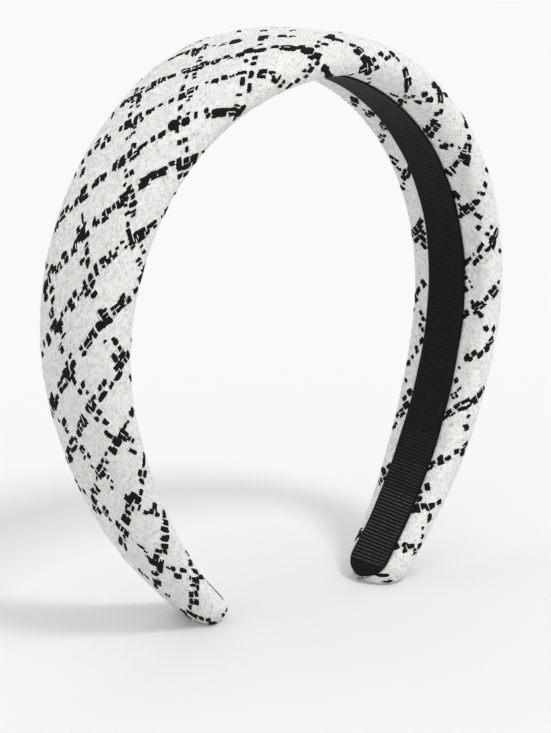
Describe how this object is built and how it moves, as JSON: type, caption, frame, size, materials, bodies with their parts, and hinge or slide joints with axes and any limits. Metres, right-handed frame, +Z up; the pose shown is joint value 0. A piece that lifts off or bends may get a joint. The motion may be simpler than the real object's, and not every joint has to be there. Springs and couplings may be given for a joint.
{
  "type": "padded headband",
  "caption": "Padded headband covered in checked woven cloth, widest over the crown and narrowing to two round tips, lined with a ribbed ribbon.",
  "frame": {"origin": "on the ground between the two tips, below the middle of the arch", "axes": "+X across the head to the wearer's left, +Y towards the back of the head, +Z up from the tips to the crown"},
  "size_m": [0.1474, 0.0434, 0.1552],
  "materials": {
    "checked_cloth": "coarse matt weave, off-white with a black windowpane check on the bias",
    "black_ribbon": "fine cross ribs with a soft sheen"
  },
  "bodies": {
    "root": {"padded_band": "checked_cloth", "ribbon_lining": "black_ribbon"}
  },
  "joints": []
}
